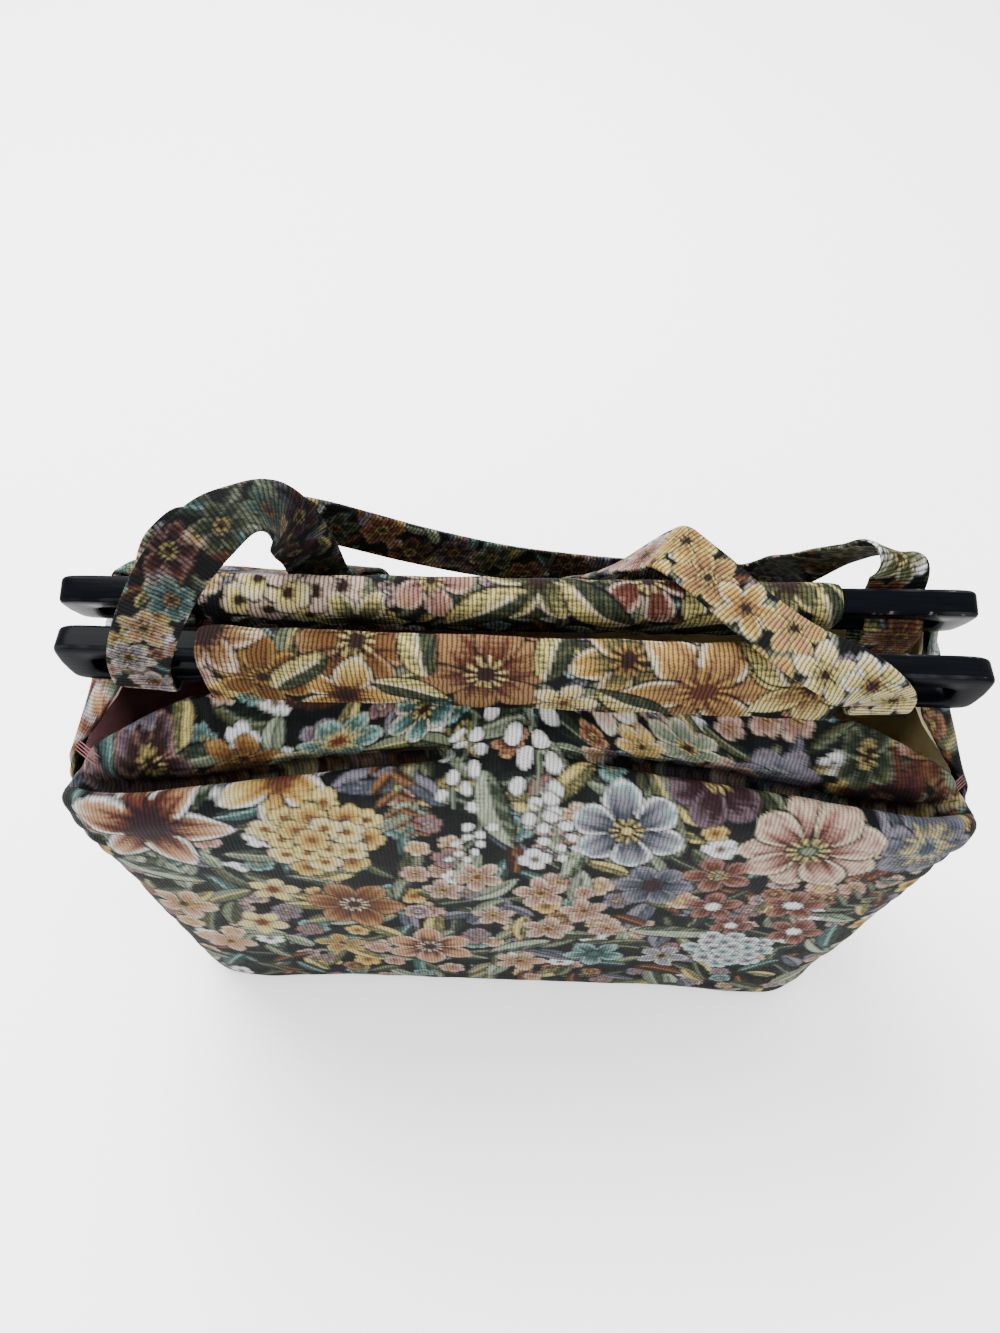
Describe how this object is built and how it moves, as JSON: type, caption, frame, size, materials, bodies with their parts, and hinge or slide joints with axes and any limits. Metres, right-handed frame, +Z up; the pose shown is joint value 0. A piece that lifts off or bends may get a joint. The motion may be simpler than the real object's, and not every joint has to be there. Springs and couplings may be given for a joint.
{
  "type": "tapestry handbag",
  "caption": "Standing box-shaped tapestry handbag that closes between slotted wooden slats held in cloth sleeves, with cloth straps looped through the slats' ends and flopped back.",
  "frame": {"origin": "centre of the base's underside, on the surface that the bag stands on", "axes": "+X to the right of someone facing the bag's front, along the rails; -Y toward the front panel; +Z up"},
  "size_m": [0.3884, 0.137, 0.3724],
  "materials": {
    "tapestry": "ribbed woven floral tapestry in muted golds, browns, pinks and teals on near-black",
    "lining": "plain smooth lining, rose at one side and butter yellow at the other",
    "lacquered_wood": "gloss black lacquer with worn edges"
  },
  "bodies": {
    "root": {"base_panel": "tapestry", "front_panel": "tapestry", "back_panel": "tapestry", "front_lining": "lining", "back_lining": "lining", "front_casing": "tapestry", "rear_casing": "tapestry", "front_rail": "lacquered_wood", "rear_rail": "lacquered_wood", "front_strap": "tapestry", "rear_strap": "tapestry"}
  },
  "joints": []
}
